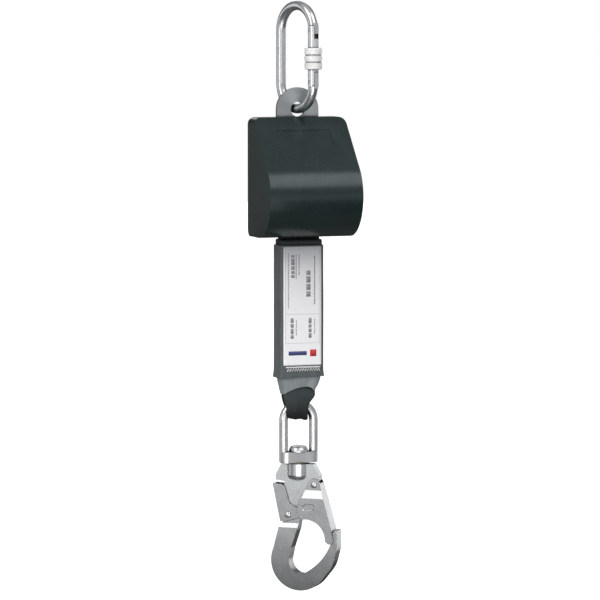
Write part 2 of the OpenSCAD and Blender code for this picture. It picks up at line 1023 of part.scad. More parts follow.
// Whole front outline of the forging
module hook_outline() {
    difference() {
        union() {
            belt([3.3, -568.2], 31.2, [14, -560], 27.9);
            belt([14, -560], 27.9, [24, -551.5], 20.4);
            translate([24, -551.5])
                square([20.4, 17]);
            polygon([[-27.2, -563], [-19.3, -532.5], [-13.2, -526.5], [3, -526], [0.4, -536.5], [-8, -567]]);
            polygon([
                [-17, head_z], [17.6, head_z], [24.2, -479.3], [23.4, -484.5],
                [15.5, -492], [5.5, -516], [3, -528], [-13.5, -528], [-13.5, -486], [-23.4, -485],
                [-23.4, -479.3]
            ]);
            translate(gate_pivot)
                circle(r = 4.6);
        }
        intersection() {
            belt([6, -568.5], 14.3, [31.5, -552], 6.5);
            translate([-19, -526.3])
                circle(r = 61.1);
        }
        // Throat between the arm and the nose
        polygon([
            [-8.3, -567], [-5.8, -555], [0.4, -536.5], [3.4, -524.5], [60, -524.5], [60, -534.8],
            [41, -534.8], [41, -537.3], [37.6, -537.3], [36.8, -551], [20, -562], [6, -568.5]
        ]);
    }
}

module hook_body() {
    barrel_r = 11.6;
    color(STEEL) in_hook() difference() {
        union() {
            intersection() {
                along_y(-hook_t, hook_t)
                    hook_outline();
                along_x(-60, 60)
                    for (side = [0, 1])
                        mirror([side, 0])
                            polygon([
                                [-0.1, head_z], [neck_t / 2, head_z], [neck_t / 2, neck_low_z],
                                [hook_t / 2, bowl_top_z], [hook_t / 2, -610], [-0.1, -610]
                            ]);
            }
            translate([0, 0, head_z])
                mirror([0, 0, 1])
                    rotate_extrude()
                        union() {
                            square([barrel_r, 11.5]);
                            square([barrel_r - 5, 16.5]);
                            translate([barrel_r - 5, 11.5])
                                circle(r = 5);
                        }
        }
        // Bore and closed chamber of the swivel pin
        translate([0, 0, pin_head_z])
            cylinder(r = swivel_r + snug, h = 20);
        translate([0, 0, pin_head_z - snug])
            cylinder(r = pin_head_r + snug, h = pin_head_h + 2 * snug);
        rod_y(rivet_r + snug, gate_pivot, -hook_t, hook_t);
        rod_y(rivet_r + snug, lever_pivot, -hook_t, hook_t);
        // Pockets for the gate's spring, open to the right, and the lever's, open to the left
        rod_y(4.2, gate_pivot, -spring_room, spring_room);
        translate([gate_pivot[0], -spring_room, gate_pivot[1] - 3])
            cube([12, 2 * spring_room, 6]);
        rod_y(4.6, lever_pivot, -spring_room, spring_room);
        translate([lever_pivot[0] - 12, -spring_room, lever_pivot[1] - 3])
            cube([12, 2 * spring_room, 6]);
    }
}

// Front outline of the gate's cheeks
module gate_outline() {
    difference() {
        union() {
            belt(gate_pivot, 6.3, [36.6, -545.2], 4.2);
            belt(gate_pivot, 6.3, [9.6, -516], 9);
            belt([9.6, -516], 9, [36.6, -545.2], 4.2);
            polygon([gate_pivot, [9.6, -516], [36.6, -545.2]]);
        }
        // Round of the throat
        translate([10.5, -546])
            circle(r = 21.3);
    }
}

// Space between the outer faces of the gate's cheeks, less inset; wider below the step
module gate_section(inset) {
    for (side = [0, 1])
        mirror([side, 0])
            polygon([
                [-0.1, -470], [cheek_in + sheet_t - inset, -470],
                [cheek_in + sheet_t - inset, step_top_z - inset / 3],
                [cheek_out + sheet_t - inset, step_low_z - inset / 3],
                [cheek_out + sheet_t - inset, -560], [-0.1, -560]
            ]);
}

module hook_gate() {
    spine_top = gate_pivot + [5.6, 1.6];
    spine_low = [38.6, -535.6];
    run = heading(spine_low - spine_top);
    color(STEEL) in_hook() difference() {
        union() {
            // Two cheeks, stepped outwards to clear the lever
            intersection() {
                along_y(-20, 20)
                    gate_outline();
                along_x(-30, 60)
                    difference() {
                        gate_section(0);
                        gate_section(sheet_t);
                    }
            }
            intersection() {
                along_y(-20, 20)
                    translate(spine_top)
                        rotate(run)
                            translate([0, -0.9])
                                square([norm(spine_low - spine_top), sheet_t + 0.3]);
                along_x(-30, 60)
                    gate_section(0);
            }
        }
        rod_y(rivet_r + fit, gate_pivot, -20, 20);
        // Pressed oblong in the front cheek
        along_y(-cheek_out - sheet_t - 1, -cheek_out - sheet_t / 2)
            translate([13.5, -512])
                rotate(8)
                    round_rect(14, 6.5, 3);
    }
}

// Domed rivet through the hook at a pivot, heads standing off the faces at y
module rivet(at, y) {
    rod_y(rivet_r, at, -y, y);
    for (side = [0, 1])
        mirror([0, side, 0])
            translate([at[0], y, at[1]])
                rotate([-90, 0, 0])
                    rotate_extrude()
                        polygon([[0, 0], [3.3, 0], [3.2, 0.6], [2.5, 1.2], [1.4, 1.6], [0, 1.7]]);
}

module gate_rivet() {
    color(STEEL) in_hook()
        rivet(gate_pivot, cheek_in + sheet_t + fit);
}

module lever_rivet() {
    color(STEEL) in_hook()
        rivet(lever_pivot, cheek_in + sheet_t + fit);
}

module gate_spring() {
    color(STEEL) in_hook()
        translate([gate_pivot[0], 1.1, gate_pivot[1]])
            rotate([90, 0, 0])
                coil(3.2, 0.35, 0.75, 3);
}

// Front outline of the lever's cheeks
module lever_outline() {
    polygon([
        lever_top, [-15.6, -489.3], [-12.6, -492], [-7.8, -508.4], [0, -512.4],
        [2.8, -523.4], [-14.6, -528.2], lever_low
    ]);
}

module lock_lever() {
    spine = lever_low - lever_top;
    color(STEEL) in_hook() difference() {
        union() {
            for (side = [0, 1])
                mirror([0, side, 0])
                    along_y(cheek_in, cheek_in + sheet_t)
                        lever_outline();
            along_y(-cheek_in - sheet_t, cheek_in + sheet_t)
                intersection() {
                    lever_outline();
                    translate(lever_top)
                        rotate(heading(spine))
                            square([norm(spine), sheet_t]);
                }
        }
        rod_y(rivet_r + fit, lever_pivot, -20, 20);
    }
}

module lever_spring() {
    color(STEEL) in_hook()
        translate([lever_pivot[0], 1.1, lever_pivot[1]])
            rotate([90, 0, 0])
                coil(3.2, 0.4, 0.9, 2.5);
}

// ---------- assembly ----------

carabiner_body();
carabiner_gate();
carabiner_gate_pin();
carabiner_latch_pin();
carabiner_sleeve();
carabiner_gate_spring();
carabiner_plunger();
front_housing();
rear_cover();
housing_screws();
frame_bracket();
frame_screws();
shaft_bushes();
main_shaft();
shaft_clips();
drum();
webbing_anchor_pin();
wound_webbing();
webbing_lead();
webbing_guide();
spring_case();
spring_case_lid();
spring_case_screws();
power_spring();
spring_arbor();
ratchet_ring();
ratchet_screws();
pawl_carrier();
pawl_a();
pawl_b();
pawl_pins();
pawl_springs();
lifeline_webbing();
absorber_pack();
absorber_sleeve();
id_label();
connector_loop();
swivel_eye();
swivel_pin();
thrust_washer();
hook_body();
hook_gate();
gate_rivet();
gate_spring();
lock_lever();
lever_rivet();
lever_spring();
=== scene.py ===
"""Looks of a self retracting lifeline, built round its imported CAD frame.

Metres, in the row frame: +Z up, the object's front faces -Y, Z is 0 inside the carabiner's upper bow.
"""
import json
import math
import random

import bmesh
import bpy
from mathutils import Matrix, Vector, noise
from mathutils.bvhtree import BVHTree

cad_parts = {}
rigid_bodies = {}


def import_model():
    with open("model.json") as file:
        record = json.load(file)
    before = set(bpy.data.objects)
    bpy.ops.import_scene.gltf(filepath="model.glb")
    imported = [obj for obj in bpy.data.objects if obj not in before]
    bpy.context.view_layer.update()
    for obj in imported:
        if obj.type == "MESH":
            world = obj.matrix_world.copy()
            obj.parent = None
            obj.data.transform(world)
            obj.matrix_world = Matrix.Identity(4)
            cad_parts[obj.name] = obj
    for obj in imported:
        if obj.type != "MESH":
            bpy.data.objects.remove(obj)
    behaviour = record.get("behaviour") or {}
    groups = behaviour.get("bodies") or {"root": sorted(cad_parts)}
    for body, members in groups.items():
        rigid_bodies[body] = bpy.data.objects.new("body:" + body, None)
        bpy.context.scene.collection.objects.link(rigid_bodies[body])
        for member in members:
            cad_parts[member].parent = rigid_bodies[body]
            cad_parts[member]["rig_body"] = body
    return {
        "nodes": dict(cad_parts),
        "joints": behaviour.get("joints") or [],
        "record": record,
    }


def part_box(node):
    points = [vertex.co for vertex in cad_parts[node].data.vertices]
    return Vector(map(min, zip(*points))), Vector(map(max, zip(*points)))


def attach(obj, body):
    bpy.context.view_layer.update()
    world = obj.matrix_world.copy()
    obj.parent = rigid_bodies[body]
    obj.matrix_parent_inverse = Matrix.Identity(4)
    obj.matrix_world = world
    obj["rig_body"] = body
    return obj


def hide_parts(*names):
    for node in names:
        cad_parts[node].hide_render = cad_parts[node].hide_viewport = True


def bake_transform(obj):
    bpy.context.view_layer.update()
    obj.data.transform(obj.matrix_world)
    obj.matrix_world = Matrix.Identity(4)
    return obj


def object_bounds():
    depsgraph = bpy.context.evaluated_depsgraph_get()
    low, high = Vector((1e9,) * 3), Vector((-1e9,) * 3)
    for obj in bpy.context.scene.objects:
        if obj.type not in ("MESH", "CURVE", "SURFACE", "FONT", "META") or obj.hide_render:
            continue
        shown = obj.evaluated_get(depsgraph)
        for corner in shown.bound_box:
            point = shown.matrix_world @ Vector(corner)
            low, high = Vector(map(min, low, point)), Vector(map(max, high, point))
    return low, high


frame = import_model()
CAD_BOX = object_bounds()
NODES = frame["nodes"]
JOINTS = {joint["name"]: joint for joint in frame["joints"]}
SLOTS = {part["node"]: part["material_slot"] for part in frame["record"]["subparts"]}
MM = 0.001
TAU = 2 * math.pi


# ---------- node helpers ----------

class Nodes:
    """Short calls that fill a node tree. The tree is emptied first."""

    def __init__(self, tree):
        self.tree = tree
        tree.nodes.clear()
        self.coords = self.add("ShaderNodeTexCoord").outputs

    def add(self, kind, **settings):
        node = self.tree.nodes.new(kind)
        for key, value in settings.items():
            setattr(node, key, value)
        return node

    def feed(self, into, value):
        """Links a socket to an input, or sets the input to a plain value."""
        if isinstance(value, bpy.types.NodeSocket):
            self.tree.links.new(value, into)
        elif into.type == "RGBA" and len(value) == 3:
            into.default_value = (*value, 1)
        else:
            into.default_value = value

    def feed_all(self, node, *values):
        """Feeds a node's first inputs, in order."""
        for into, value in zip(node.inputs, values):
            self.feed(into, value)
        return node

    def math(self, kind, a, b=0.0, c=0.0):
        return self.feed_all(self.add("ShaderNodeMath", operation=kind), a, b, c).outputs["Value"]

    def plus(self, a, b):
        return self.math("ADD", a, b)

    def minus(self, a, b):
        return self.math("SUBTRACT", a, b)

    def times(self, a, b):
        return self.math("MULTIPLY", a, b)

    def over(self, a, b):
        return self.math("DIVIDE", a, b)

    def vector_math(self, kind, *vectors):
        node = self.feed_all(self.add("ShaderNodeVectorMath", operation=kind), *vectors)
        return node.outputs["Value" if kind == "DOT_PRODUCT" else "Vector"]

    def split(self, vector):
        """The X, Y and Z of a vector, by name."""
        return self.feed_all(self.add("ShaderNodeSeparateXYZ"), vector).outputs

    def map_range(self, value, from_low, from_high, low, high, kind="LINEAR"):
        node = self.add("ShaderNodeMapRange", clamp=True, interpolation_type=kind)
        return self.feed_all(node, value, from_low, from_high, low, high).outputs["Result"]

    def mix(self, fac, a, b):
        """Colour a where fac is 0, and colour b where it is 1."""
        colour_a, colour_b, colour_out = 6, 7, 2  # places of the colour sockets on a mix node
        node = self.add("ShaderNodeMix", data_type="RGBA")
        self.feed(node.inputs["Factor"], fac)
        self.feed(node.inputs[colour_a], a)
        self.feed(node.inputs[colour_b], b)
        return node.outputs[colour_out]

    def ramp(self, value, stops):
        """Colour by value, from a list of (place, colour) that starts at 0 and ends at 1."""
        node = self.feed_all(self.add("ShaderNodeValToRGB"), value)
        elements = node.color_ramp.elements
        elements[0].color = (*stops[0][1], 1)
        elements[1].color = (*stops[-1][1], 1)
        for place, colour in stops[1:-1]:
            elements.new(place).color = (*colour, 1)
        return node.outputs["Color"]


class Shader(Nodes):
    """A node material with a Principled surface."""

    def __init__(self, name):
        self.material = bpy.data.materials.new(name)
        self.material.use_nodes = True
        super().__init__(self.material.node_tree)
        self.surface = self.add("ShaderNodeBsdfPrincipled")
        output = self.add("ShaderNodeOutputMaterial")
        self.feed(output.inputs["Surface"], self.surface.outputs["BSDF"])

    def set(self, name, value):
        self.feed(self.surface.inputs[name], value)

    def place(self, scale=(1, 1, 1)):
        """Object coordinates, scaled."""
        mapping = self.add("ShaderNodeMapping")
        self.feed(mapping.inputs["Vector"], self.coords["Object"])
        mapping.inputs["Scale"].default_value = scale
        return mapping.outputs["Vector"]

    def noise(self, per_metre, detail=3, rough=0.5, stretch=(1, 1, 1)):
        """Noise with per_metre cells a metre; a stretch below 1 draws it out along that axis."""
        texture = self.add("ShaderNodeTexNoise")
        self.feed(texture.inputs["Vector"], self.place(stretch))
        texture.inputs["Scale"].default_value = per_metre
        texture.inputs["Detail"].default_value = detail
        texture.inputs["Roughness"].default_value = rough
        return texture.outputs["Fac"]

    def spread(self, value, low, high):
        """Maps a noise value's usual range to low..high."""
        return self.map_range(value, 0.3, 0.7, low, high)

    def rise(self, low, high):
        """0 at height low and below it, 1 at height high and above it."""
        return self.map_range(self.split(self.coords["Object"])["Z"], low, high, 0.0, 1.0)

    def bump(self, height, metres, strength, under=None):
        """Bumps the surface by a height of up to metres, on top of an earlier bump."""
        node = self.add("ShaderNodeBump")
        node.inputs["Strength"].default_value = strength
        node.inputs["Distance"].default_value = metres
        self.feed(node.inputs["Height"], height)
        if under is not None:
            self.feed(node.inputs["Normal"], under)
        self.set("Normal", node.outputs["Normal"])
        return node.outputs["Normal"]

    def open_to_light(self, reach):
        """Mask for painted shade: 0 deep inside slots and corners narrower than reach, 1 in the open."""
        node = self.add("ShaderNodeAmbientOcclusion", samples=8)
        node.inputs["Distance"].default_value = reach
        return self.map_range(node.outputs["AO"], 0.45, 0.85, 0.0, 1.0, "SMOOTHSTEP")

    def turned_grain(self, centre, axis, strength):
        """Grain that runs in rings about a point, as a turned or tumbled face has it."""
        from_centre = self.vector_math("SUBTRACT", self.coords["Object"], centre)
        around = self.vector_math("CROSS_PRODUCT", from_centre, axis)
        self.set("Tangent", self.vector_math("NORMALIZE", around))
        self.set("Anisotropic", strength)

    def edges(self, radius):
        """1 on sharp edges, falling to 0 within radius of them."""
        rounded = self.add("ShaderNodeBevel", samples=4)
        rounded.inputs["Radius"].default_value = radius
        plain = self.add("ShaderNodeNewGeometry")
        agree = self.vector_math("DOT_PRODUCT", rounded.outputs["Normal"], plain.outputs["Normal"])
        return self.math("SMOOTH_MIN", self.times(self.minus(1.0, agree), 6.0), 1.0, 0.1)


def shade(colour, factor):
    """A colour made darker or lighter."""
    return tuple(min(1.0, c * factor) for c in colour)


# ---------- materials ----------

def metal(name, colour, rough, grain=(1, 1, 1), grain_depth=0.004, smudge=0.06, tarnish=0.12,
          fade=None, whiteness=0.0, rings=None, reach=5 * MM):
    """Bare metal: drawn-out grain, a slow change of roughness, and faint darker patches.

    grain_depth is in millimetres. A fade of (low, high) in metres paints shade on it, darker towards its
    lower end;
    whiteness makes it a dull white plate; rings is the centre about which its grain runs, in the XZ
    plane; slots narrower than reach get painted shade, near black.
    """
    s = Shader(name)
    s.set("Metallic", 1.0 - whiteness)
    tone = s.mix(s.spread(s.noise(45, detail=4), 0, 1), shade(colour, 1 - tarnish), colour)
    # Painted shade: darker towards the lower end of the fade's heights
    if fade:
        tone = s.mix(s.rise(*fade), shade(colour, 0.34), tone)
    if rings:
        s.turned_grain(rings, (0, 1, 0), 0.75)
    # Painted shade: slots and corners narrower than reach go near black
    s.set("Base Color", s.mix(s.open_to_light(reach), shade(colour, 0.03), tone))
    fine = s.noise(2200, detail=2, stretch=grain)
    slow = s.spread(s.noise(90, detail=5), rough - smudge, rough + smudge)
    s.set("Roughness", s.plus(slow, s.times(s.minus(fine, 0.5), 0.06)))
    s.bump(fine, grain_depth * MM, 0.4)
    return s.material


def plastic(name, colour, rough, grain_depth):
    """Moulded plastic: spark-eroded grain (in millimetres), slow gloss changes and scuffed edges."""
    s = Shader(name)
    s.set("IOR", 1.54)
    s.set("Specular Tint", (0.88, 1.0, 1.0))
    tone = s.mix(s.spread(s.noise(28, detail=4), 0, 1), shade(colour, 0.85), shade(colour, 1.15))
    wear_and_shade = s.times(s.edges(0.6 * MM), s.spread(s.noise(500, detail=4), 0.0, 0.25))
    s.set("Base Color", s.mix(wear_and_shade, tone, shade(colour, 4)))
    s.set("Roughness", s.spread(s.noise(60, detail=5, rough=0.6), rough - 0.05, rough + 0.06))
    s.bump(s.noise(1100, detail=2), grain_depth * MM, 0.25)
    return s.material


def webbing(name, colour, wear_and_shade):
    """Woven polyester webbing: columns of chevrons, with a yarn grain and a soft sheen.

    It gets painted shade, darkest below the lower of the two given heights and gone above the higher, and in
    its crevices; its sheen is dimmed there too.
    """
    column, pitch, warp_pitch, slope = 4.2, 1.15, 0.7, 3.6  # of the weave, in millimetres
    s = Shader(name)
    millimetres = s.split(s.place((1 / MM, 1 / MM, 1 / MM)))
    u, v = millimetres["X"], millimetres["Z"]
    slant = s.math("ABSOLUTE", s.minus(s.math("FRACT", s.over(u, column)), 0.5))
    twill = s.math("SINE", s.times(s.plus(s.over(v, pitch), s.times(slant, slope)), TAU))
    warp = s.math("SINE", s.times(s.over(u, warp_pitch), TAU))
    yarn = s.noise(2600, detail=2)
    height = s.plus(s.plus(s.times(twill, 0.16), s.times(warp, 0.08)), s.times(yarn, 0.6))
    woven = s.mix(s.spread(height, 0, 1), shade(colour, 0.62), shade(colour, 1.35))
    # Painted shade below the given heights and in crevices, which also dims the sheen
    unshaded = s.times(s.rise(*wear_and_shade), s.open_to_light(14 * MM))
    s.set("Base Color", s.mix(unshaded, shade(colour, 0.22), woven))
    s.set("Roughness", s.spread(yarn, 0.62, 0.8))
    s.set("Sheen Weight", s.times(unshaded, 0.2))
    s.set("Sheen Roughness", 0.45)
    s.set("Sheen Tint", (0.6, 0.66, 0.66))
    s.bump(height, 0.16 * MM, 0.75)
    return s.material


def coated_fabric(name, colour):
    """Coated woven fabric: a fine plain weave under a dull coat, streaked along its length."""
    s = Shader(name)
    across, along = (s.add("ShaderNodeTexWave", wave_type="BANDS", bands_direction=axis) for axis in "XZ")
    for wave in (across, along):
        s.feed(wave.inputs["Vector"], s.place())
        wave.inputs["Scale"].default_value = 260
        wave.inputs["Distortion"].default_value = 0.6
    weave = s.times(across.outputs["Fac"], along.outputs["Fac"])
    streaks = s.noise(130, detail=4, stretch=(1, 1, 0.06))
    tone = s.mix(s.spread(streaks, 0, 1), shade(colour, 0.78), shade(colour, 1.2))
    dirt = s.spread(s.noise(60, detail=6, rough=0.65), 0.0, 0.35)
    dirty = s.mix(dirt, tone, shade(colour, 0.7))
    # Painted shade in creases and under overhanging edges
    s.set("Base Color", s.mix(s.open_to_light(12 * MM), shade(colour, 0.45), dirty))
    s.set("Roughness", s.spread(s.noise(80, detail=5), 0.48, 0.66))
    s.set("Sheen Weight", 0.15)
    under = s.bump(weave, 0.08 * MM, 0.6)
    s.bump(s.noise(240, detail=4, rough=0.6), 0.25 * MM, 0.35, under)
    return s.material


def label_film(name, low_z, high_z):
    """Satin printed film: silver-grey at its top, white below, with faint scuffs."""
    s = Shader(name)
    fade = s.ramp(s.rise(low_z, high_z), [
        (0.0, (0.93, 0.93, 0.93)),
        (0.45, (0.86, 0.86, 0.86 * 1.01)),
        (0.8, (0.72, 0.72, 0.72 * 1.01)),
        (1.0, (0.42, 0.43, 0.45)),
    ])
    scuffs = s.spread(s.noise(220, detail=6, rough=0.7), 0.0, 0.16)
    s.set("Base Color", s.mix(scuffs, fade, (0.55, 0.56, 0.58)))
    s.set("Roughness", s.spread(s.noise(150, detail=4), 0.28, 0.42))
    s.set("Coat Weight", 0.4)
    s.set("Coat Roughness", 0.2)
    s.bump(s.noise(70, detail=3), 0.15 * MM, 0.3)
    return s.material


def ink(name, colour):
    """Matt ink or thread, a little uneven in tone."""
    s = Shader(name)
    s.set("Roughness", 0.5)
    s.set("Base Color", s.mix(s.spread(s.noise(900, detail=3), 0, 1), colour, shade(colour, 1.5)))
    return s.material


def make_materials():
    """Materials by slot of the record, by CAD node with one of its own, or by soft piece."""
    upright, sideways = (1, 1, 0.03), (0.03, 0.03, 1)
    label_low, label_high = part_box("id_label")
    hook_low, hook_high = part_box("hook_body")
    eye_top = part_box("swivel_eye")[1].z
    lug_hole = JOINTS["housing_swing"]["pos_m"]
    metals = {
        "polished_steel": dict(colour=(0.63, 0.64, 0.65), rough=0.29, grain=upright,
                               grain_depth=0.002, smudge=0.05, tarnish=0.08, reach=3 * MM),
        "carabiner_gate": dict(colour=(0.72, 0.73, 0.74), rough=0.24, grain=upright,
                               grain_depth=0.002, smudge=0.05, tarnish=0.06, reach=10 * MM),
        "zinc_sleeve": dict(colour=(0.90, 0.905, 0.89), rough=0.48, grain_depth=0.01, tarnish=0.06,
                            whiteness=0.7),
        "grey_plate": dict(colour=(0.40, 0.42, 0.43), rough=0.42, grain_depth=0.006, tarnish=0.15,
                           rings=lug_hole),
        "spring_steel": dict(colour=(0.42, 0.43, 0.45), rough=0.30, grain_depth=0.002),
        # The hook's fade is painted shade, darkest at its bottom
        "hook_steel": dict(colour=(0.63, 0.65, 0.655), rough=0.27, grain=(1, 1, 0.2),
                           grain_depth=0.005, smudge=0.025, tarnish=0.08,
                           fade=(hook_low.z, hook_high.z - 40 * MM)),
        "sheet_steel": dict(colour=(0.51, 0.525, 0.53), rough=0.25, grain=upright,
                            grain_depth=0.003, smudge=0.025, tarnish=0.06),
        "brake_steel": dict(colour=(0.47, 0.45, 0.40), rough=0.36, grain_depth=0.006),
        "bronze": dict(colour=(0.27, 0.215, 0.14), rough=0.42, grain_depth=0.01),
        "drum_alloy": dict(colour=(0.55, 0.57, 0.58), rough=0.48, grain=sideways, grain_depth=0.02),
    }
    return {
        **{name: metal(name, **values) for name, values in metals.items()},
        "housing_plastic": plastic("housing_plastic", (0.0046, 0.0130, 0.0124), 0.27, 0.005),
        "guide_plastic": plastic("guide_plastic", (0.02, 0.024, 0.024), 0.5, 0.02),
        # The webbing's painted shade is full below 12 mm under the swivel eye's top and gone by 8 mm above
        # it
        "black_webbing": webbing("black_webbing", (0.033, 0.048, 0.049),
                                 (eye_top - 12 * MM, eye_top + 8 * MM)),
        "grey_sleeve": coated_fabric("grey_sleeve", (0.078, 0.093, 0.094)),
        "pale_sleeve": coated_fabric("pale_sleeve", (0.26, 0.295, 0.30)),
        "label_white": label_film("label_white", label_low.z, label_high.z),
        "tape": ink("pale_tape", (0.50, 0.52, 0.52)),
        "thread": ink("white_thread", (0.78, 0.80, 0.80)),
    }


def dress_cad_nodes(materials):
    """Gives every CAD node its own material if it has one, or that of its slot in the record."""
    for node, slot in SLOTS.items():
        mesh = NODES[node].data
        mesh.materials.clear()
        mesh.materials.append(materials.get(node) or materials[slot])


# ---------- mesh helpers ----------

def add_object(name, data):
    """A new object in the scene."""
    obj = bpy.data.objects.new(name, data)
    bpy.context.scene.collection.objects.link(obj)
    return obj


def make_piece(name, skin, material, body):
    """A smooth mesh object from (points, faces). It rides on a body, or on none if body is None."""
    points, faces = skin
    mesh = bpy.data.meshes.new(name)
    mesh.from_pydata([tuple(p) for p in points], [], faces)
    mesh.validate()
    bm = bmesh.new()
    bm.from_mesh(mesh)
    bmesh.ops.recalc_face_normals(bm, faces=bm.faces)
    bm.to_mesh(mesh)
    bm.free()
    mesh.materials.append(material)
    mesh.shade_smooth()
    obj = add_object(name, mesh)
    if body:
        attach(obj, body)
    return obj


def loft(rings, close_ends=True):
    """Points and faces of a skin over rings that each have the same number of points."""
    n = len(rings[0])
    points = [p for ring in rings for p in ring]
    faces = [
        (j * n + i, j * n + (i + 1) % n, (j + 1) * n + (i + 1) % n, (j + 1) * n + i)
        for j in range(len(rings) - 1) for i in range(n)
    ]
    if close_ends:
        last = (len(rings) - 1) * n
        faces.append(tuple(range(n - 1, -1, -1)))
        faces.append(tuple(last + i for i in range(n)))
    return points, faces


def lathe(profile, centre, around, relief):
    """Points and faces of a closed (radius, z) profile turned about Z, plus a relief(angle, radius, z)."""
    points = []
    for k in range(around):
        a = TAU * k / around
        for radius, z in profile:
            r = radius + relief(a, radius, z)
            points.append(centre + Vector((r * math.cos(a), r * math.sin(a), z)))
    n = len(profile)
    faces = [
        (k * n + i, (k + 1) % around * n + i, (k + 1) % around * n + (i + 1) % n, k * n + (i + 1) % n)
        for k in range(around) for i in range(n)
    ]
    return points, faces


def join_parts(parts):
    """One list of points and one of faces from several pairs of them."""
    points, faces = [], []
    for more_points, more_faces in parts:
        start = len(points)
        points += more_points
        faces += [tuple(start + i for i in face) for face in more_faces]
    return points, faces


def smooth_step(x, low, high):
    """0 below low, 1 above high, and a smooth rise between them."""
    t = min(1.0, max(0.0, (x - low) / (high - low)))
    return t * t * (3 - 2 * t)


def between(table, x):
    """Value at x of a smooth curve through a short sorted list of (x, value)."""
    if x <= table[0][0]:
        return table[0][1]
    for (x0, v0), (x1, v1) in zip(table, table[1:]):
        if x <= x1:
            return v0 + (v1 - v0) * smooth_step(x, x0, x1)
    return table[-1][1]


def rounded_rect(half_w, half_t, radius, per_side, per_corner):
    """Points (x, y) anticlockwise round a rounded rectangle, from the right end of its front side."""
    corners = [(1, -1, -90), (1, 1, 0), (-1, 1, 90), (-1, -1, 180)]

    def on_corner(sx, sy, degrees):
        a = math.radians(degrees)
        return (sx * (half_w - radius) + radius * math.cos(a), sy * (half_t - radius) + radius * math.sin(a))

    points = []
    for (sx, sy, start), following in zip(corners, corners[1:] + corners[:1]):
        points += [on_corner(sx, sy, start + 90 * k / per_corner) for k in range(per_corner + 1)]
        (x0, y0), (x1, y1) = points[-1], on_corner(*following)
        for k in range(1, per_side):
            t = k / per_side
            points.append((x0 + (x1 - x0) * t, y0 + (y1 - y0) * t))
    return points


def round_edges(obj, width):
    """Rounds an object's sharp edges with modifiers, which leave its own mesh as it is."""
    bevel = obj.modifiers.new("edges", "BEVEL")
    bevel.width = width
    bevel.segments = 3
    bevel.limit_method = "ANGLE"
    bevel.angle_limit = math.radians(35)
    bevel.use_clamp_overlap = True
    bevel.miter_outer = "MITER_ARC"
    obj.modifiers.new("shading", "WEIGHTED_NORMAL").keep_sharp = True


def soften(node, width):
    """Joins up a CAD node's triangles and rounds its sharp edges, with modifiers."""
    obj = NODES[node]
    obj.modifiers.new("join", "WELD").merge_threshold = 0.002 * MM
    flat = obj.modifiers.new("flats", "DECIMATE")
    flat.decimate_type = "DISSOLVE"
    flat.angle_limit = math.radians(0.4)
    round_edges(obj, width)


# ---------- soft pieces ----------

def build_lifeline(material):
    """The run of webbing from the guide to the absorber."""
    low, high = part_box("lifeline_webbing")
    pack_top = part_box("absorber_pack")[1].z
    middle_y = (low.y + high.y) / 2
    half_w, half_t = (high.x - low.x) / 2, (high.y - low.y) / 2
    bottom = pack_top - 4 * MM
    steps = 80
    outline = rounded_rect(half_w, half_t, half_t * 0.95, 14, 4)
    rings = [
        [Vector((x, middle_y + y, high.z + (bottom - high.z) * k / steps)) for x, y in outline]
        for k in range(steps + 1)
    ]
    strap = make_piece("lifeline_strap", loft(rings), material, None)
    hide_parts("lifeline_webbing")
    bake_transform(strap)


def build_tear_webbing(material):
    """Tear webbing folded to and fro inside its sleeve."""
    low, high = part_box("absorber_pack")
    middle_y = (low.y + high.y) / 2
    half_w = (high.x - low.x) / 2 - 0.5 * MM
    half_t = (high.y - low.y) / 2 - 0.4 * MM
    layers, straight_steps, bend_steps = 8, 12, 8
    pitch = 2 * half_t / layers
    thick = pitch * 0.86
    bend = pitch / 2
    path = []  # (y, z, direction along z, direction along y)
    for layer in range(layers):
        y = middle_y - half_t + pitch * (layer + 0.5)
        up = 1 if layer % 2 == 0 else -1
        start, end = low.z + bend + thick / 2, high.z - bend - thick / 2
        if up < 0:
            start, end = end, start
        for k in range(straight_steps + 1):
            path.append((y, start + (end - start) * k / straight_steps, up, 0.0))
        if layer < layers - 1:
            for k in range(1, bend_steps):
                a = math.pi * k / bend_steps
                path.append((y + bend * (1 - math.cos(a)), end + up * bend * math.sin(a),
                             up * math.cos(a), math.sin(a)))
    outline = rounded_rect(half_w, thick / 2, thick * 0.4, 12, 3)
    rings = []
    for index, (y, z, along_z, along_y) in enumerate(path):
        # The normal is the path's direction turned by a quarter turn
        direction = Vector((0, along_y, along_z)).normalized()
        normal = Vector((0, direction.z, -direction.y))
        centre = Vector((0, y, z))
        slip = 0.35 * MM * noise.noise(Vector((index * 0.21, 3.1, 0.7)))
        rings.append([centre + Vector((x + slip, 0, 0)) + normal * n for x, n in outline])
    pack = make_piece("tear_webbing", loft(rings), material, "line")
    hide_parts("absorber_pack")


